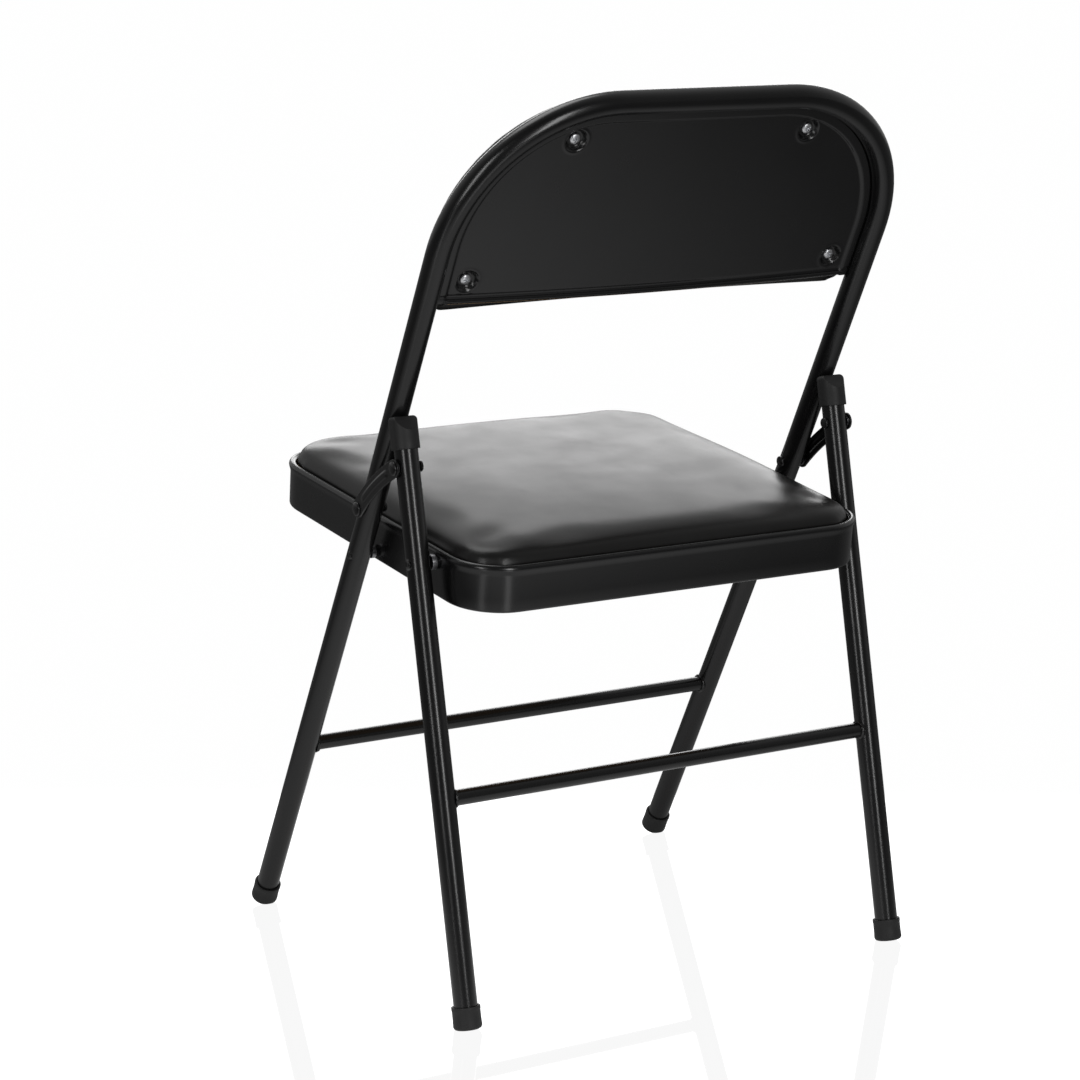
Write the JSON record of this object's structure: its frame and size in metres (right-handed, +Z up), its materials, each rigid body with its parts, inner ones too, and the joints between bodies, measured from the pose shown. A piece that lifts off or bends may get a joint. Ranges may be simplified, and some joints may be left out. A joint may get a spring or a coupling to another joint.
{
  "type": "folding chair",
  "caption": "Folding chair with a hooped steel tube frame, padded seat and padded back, and rear legs that swing in on side links.",
  "frame": {"origin": "on the floor, under the middle of the opened chair's box", "axes": "+Z up, +Y towards the rear, +X towards the sitter's left"},
  "size_m": [0.4828, 0.4412, 0.795],
  "materials": {
    "black_paint": "satin black powder coat",
    "vinyl": "smooth black vinyl",
    "rubber": "matt black moulded rubber",
    "zinc_screw": "bright zinc plate",
    "zinc_hardware": "dull zinc plate",
    "board": "raw plywood"
  },
  "bodies": {
    "front_frame": {"front_tube": "black_paint", "front_crossbar": "black_paint", "front_foot_left": "rubber", "front_foot_right": "rubber", "seat_pivot_rivet_left": "black_paint", "seat_pivot_rivet_right": "black_paint", "link_front_rivet_left": "black_paint", "link_front_rivet_right": "black_paint", "link_front_spacer_left": "zinc_hardware", "link_front_spacer_right": "zinc_hardware", "back_panel": "black_paint", "back_board": "board", "back_pad": "vinyl", "back_screw_upper_left": "zinc_screw", "back_screw_upper_right": "zinc_screw", "back_screw_lower_left": "zinc_screw", "back_screw_lower_right": "zinc_screw"},
    "seat": {"seat_apron": "black_paint", "seat_board": "board", "seat_cushion": "vinyl", "seat_pivot_spacer_left": "zinc_hardware", "seat_pivot_spacer_right": "zinc_hardware", "rear_pivot_bush_left": "zinc_hardware", "rear_pivot_bush_right": "zinc_hardware", "seat_screw_front_left": "zinc_screw", "seat_screw_front_right": "zinc_screw", "seat_screw_rear_left": "zinc_screw", "seat_screw_rear_right": "zinc_screw"},
    "link_left": {"link_left": "black_paint", "link_rear_rivet_left": "black_paint", "link_rear_spacer_left": "zinc_hardware"},
    "link_right": {"link_right": "black_paint", "link_rear_rivet_right": "black_paint", "link_rear_spacer_right": "zinc_hardware"},
    "rear_legs": {"rear_crossbar": "black_paint", "rear_leg_left": "black_paint", "rear_leg_cap_left": "rubber", "rear_foot_left": "rubber", "rear_pivot_rivet_left": "black_paint", "rear_leg_right": "black_paint", "rear_leg_cap_right": "rubber", "rear_foot_right": "rubber", "rear_pivot_rivet_right": "black_paint"}
  },
  "joints": [
    {"name": "seat_fold", "type": "hinge", "parent": "front_frame", "child": "seat", "pos_m": [0, -0.00167, 0.3825], "axis": [-1, 0, 0], "range_deg": [0, 103]},
    {"name": "link_left_swing", "type": "hinge", "parent": "front_frame", "child": "link_left", "pos_m": [0, 0.0234, 0.4279], "axis": [-1, 0, 0], "range_deg": [0, 124.5]},
    {"name": "link_right_swing", "type": "hinge", "parent": "front_frame", "child": "link_right", "pos_m": [0, 0.0234, 0.4279], "axis": [-1, 0, 0], "range_deg": [0, 124.5]},
    {"name": "rear_leg_fold", "type": "hinge", "parent": "link_left", "child": "rear_legs", "pos_m": [0, 0.09161, 0.4744], "axis": [-1, 0, 0], "range_deg": [-84.5, 0]}
  ],
  "couplings": [
    {"joint": "link_left_swing", "follows": "seat_fold", "ratio": 1.2066},
    {"joint": "link_right_swing", "follows": "seat_fold", "ratio": 1.2066},
    {"joint": "rear_leg_fold", "follows": "seat_fold", "ratio": -0.8166}
  ]
}
